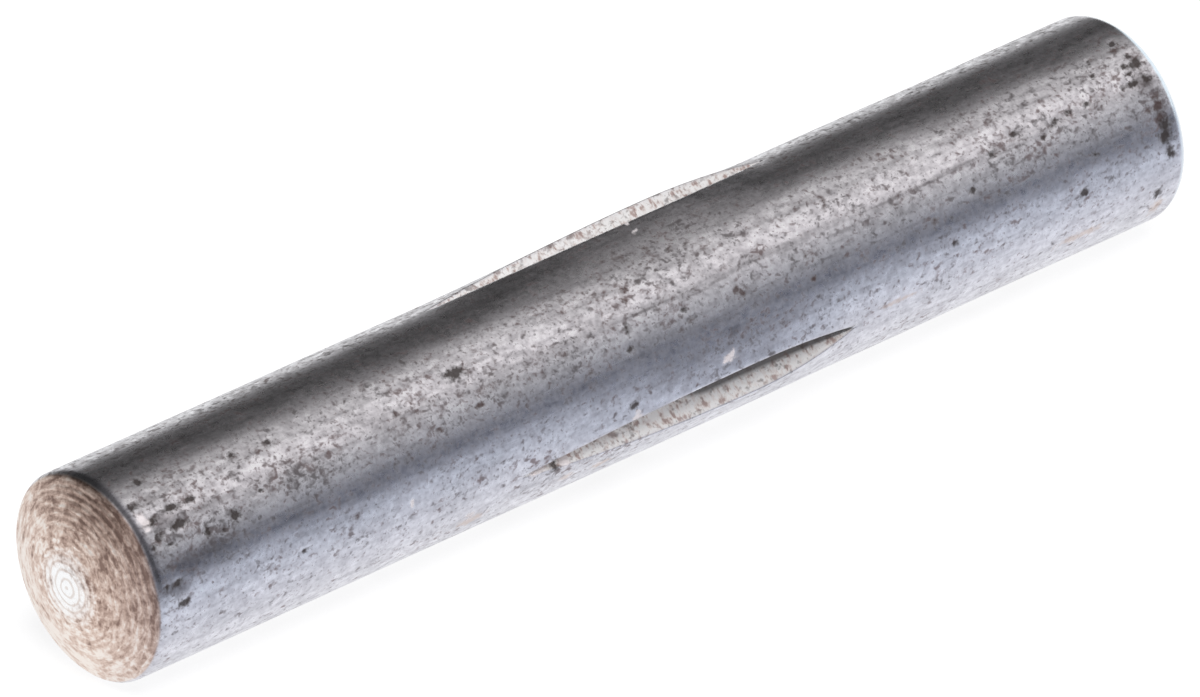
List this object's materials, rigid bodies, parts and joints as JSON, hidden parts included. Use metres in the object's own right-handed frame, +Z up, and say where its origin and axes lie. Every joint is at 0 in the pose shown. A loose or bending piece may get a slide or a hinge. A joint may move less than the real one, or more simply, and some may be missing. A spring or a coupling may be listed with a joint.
{
  "type": "grooved pin",
  "caption": "Steel dowel pin with domed ends and short V grooves round its middle, whose raised lips grip the hole it is driven into.",
  "frame": {"origin": "on the pin's axis, midway between the tips of its two domed ends", "axes": "+X along the pin, from the end with turned rings to the plain end; +Z is up as the pin lies on a bench, with one groove turned 17.5 degrees from it towards +Y"},
  "size_m": [0.032, 0.0052, 0.0052],
  "materials": {
    "bare_steel": "drawn and hardened steel with a thin grey scale, rust flecks and one tan, turned end"
  },
  "bodies": {
    "root": {"grooved_pin": "bare_steel"}
  },
  "joints": []
}
